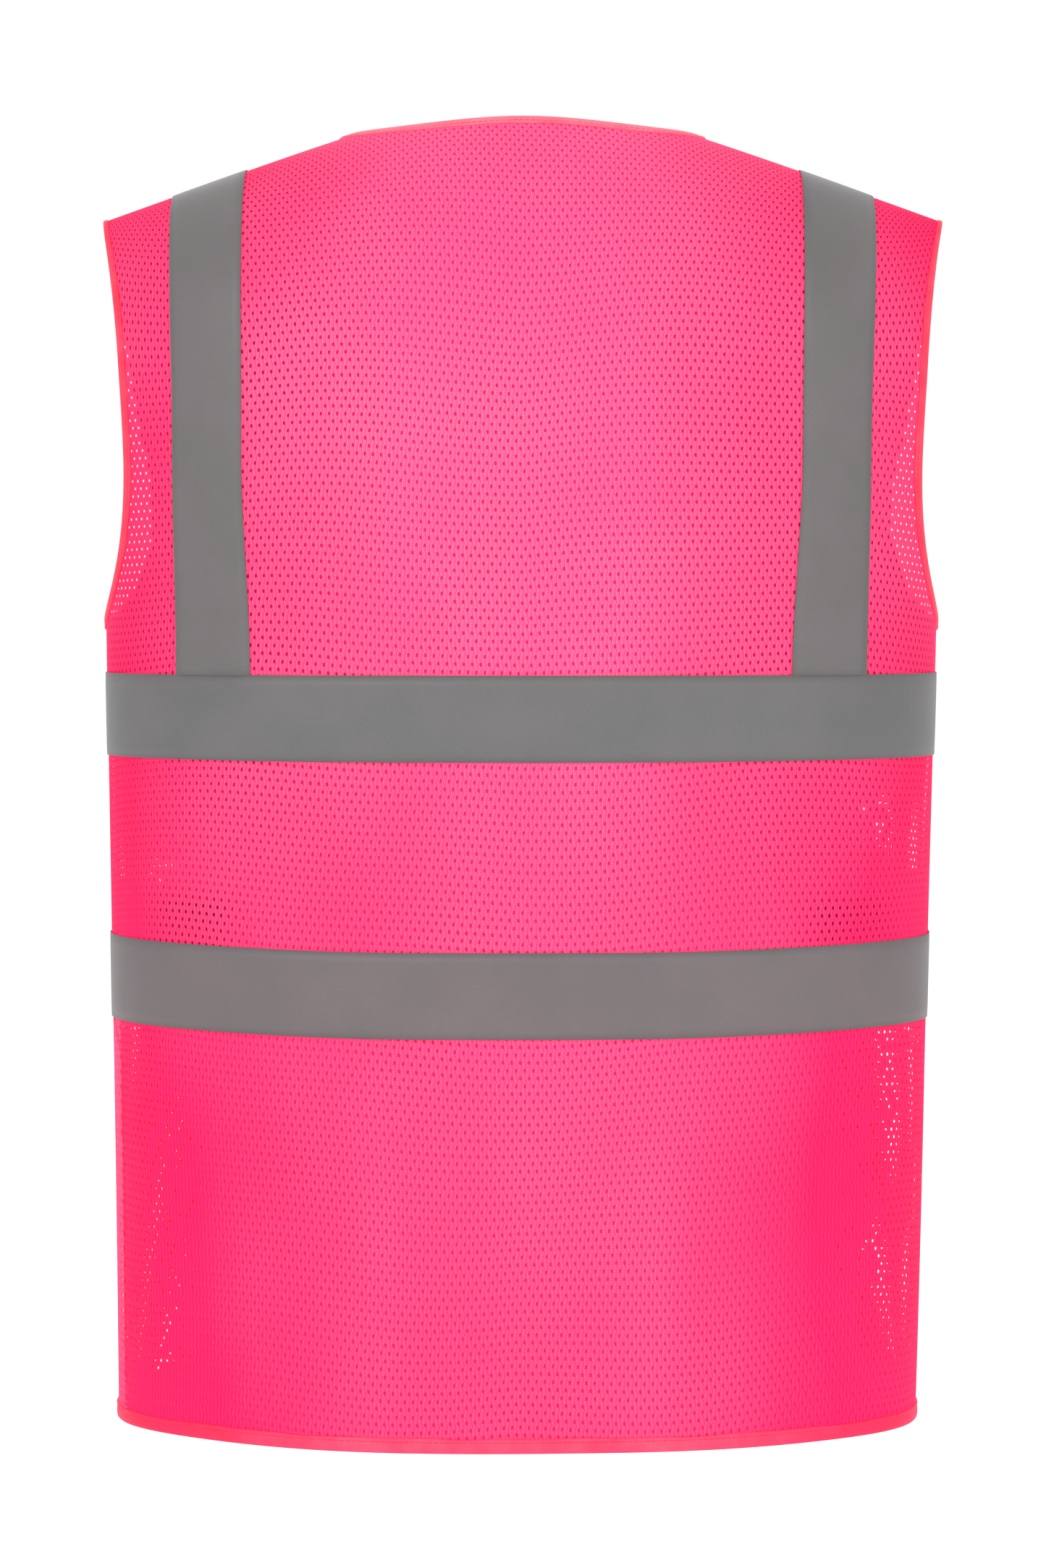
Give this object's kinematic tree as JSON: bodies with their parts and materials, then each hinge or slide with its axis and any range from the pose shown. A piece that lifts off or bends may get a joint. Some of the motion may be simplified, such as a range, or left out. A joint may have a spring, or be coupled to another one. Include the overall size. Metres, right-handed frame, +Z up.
{
  "type": "high visibility vest",
  "caption": "Sleeveless open-mesh safety vest with V neck, bound edges, reflective body bands and shoulder braces, and front halves that fold open.",
  "frame": {"origin": "centre between the shoulders, level with the top of the shoulder seams at the neck, where the vest rests on the wearer", "axes": "+Z up, -Y towards the wearer's front, +X towards the wearer's left"},
  "size_m": [0.5016, 0.253, 0.7743],
  "materials": {
    "mesh_cloth": "fluorescent pink open-mesh polyester knit",
    "binding": "woven coral pink bias binding",
    "reflective_tape": "matte grey retroreflective tape, fine glass bead grain",
    "hook_and_loop": "napped hook and loop tape",
    "label": "blank satin woven label"
  },
  "bodies": {
    "root": {"back_panel": "mesh_cloth", "back_neck_binding": "binding", "back_hem_binding": "binding", "upper_back_band": "reflective_tape", "lower_back_band": "reflective_tape", "neck_label": "label", "care_label": "label", "left_front_panel": "mesh_cloth", "left_armhole_binding": "binding", "left_brace": "reflective_tape", "left_neck_binding": "binding", "left_front_hem_binding": "binding", "left_upper_front_band": "reflective_tape", "left_lower_front_band": "reflective_tape", "right_front_panel": "mesh_cloth", "right_armhole_binding": "binding", "right_brace": "reflective_tape", "right_neck_binding": "binding", "right_front_hem_binding": "binding", "right_upper_front_band": "reflective_tape", "right_lower_front_band": "reflective_tape"},
    "left_front_opening": {"left_front_flap": "mesh_cloth", "left_front_edge_binding": "binding", "left_flap_hem_binding": "binding", "left_upper_flap_band": "reflective_tape", "left_lower_flap_band": "reflective_tape", "hook_patch_1": "hook_and_loop", "hook_patch_2": "hook_and_loop", "hook_patch_3": "hook_and_loop", "hook_patch_4": "hook_and_loop"},
    "right_front_opening": {"right_front_flap": "mesh_cloth", "right_front_edge_binding": "binding", "right_flap_hem_binding": "binding", "right_upper_flap_band": "reflective_tape", "right_lower_flap_band": "reflective_tape", "loop_patch_1": "hook_and_loop", "loop_patch_2": "hook_and_loop", "loop_patch_3": "hook_and_loop", "loop_patch_4": "hook_and_loop"}
  },
  "joints": [
    {"name": "left_front_fold", "type": "hinge", "parent": "root", "child": "left_front_opening", "pos_m": [0.12674, -0.11443, -0.768], "axis": [-0.0482, -0.0029, 0.9988], "range_deg": [0, 110]},
    {"name": "right_front_fold", "type": "hinge", "parent": "root", "child": "right_front_opening", "pos_m": [-0.12674, -0.11443, -0.768], "axis": [-0.0482, 0.0029, -0.9988], "range_deg": [0, 60.5]}
  ],
  "couplings": [
    {"joint": "right_front_fold", "follows": "left_front_fold", "ratio": 0.55}
  ]
}
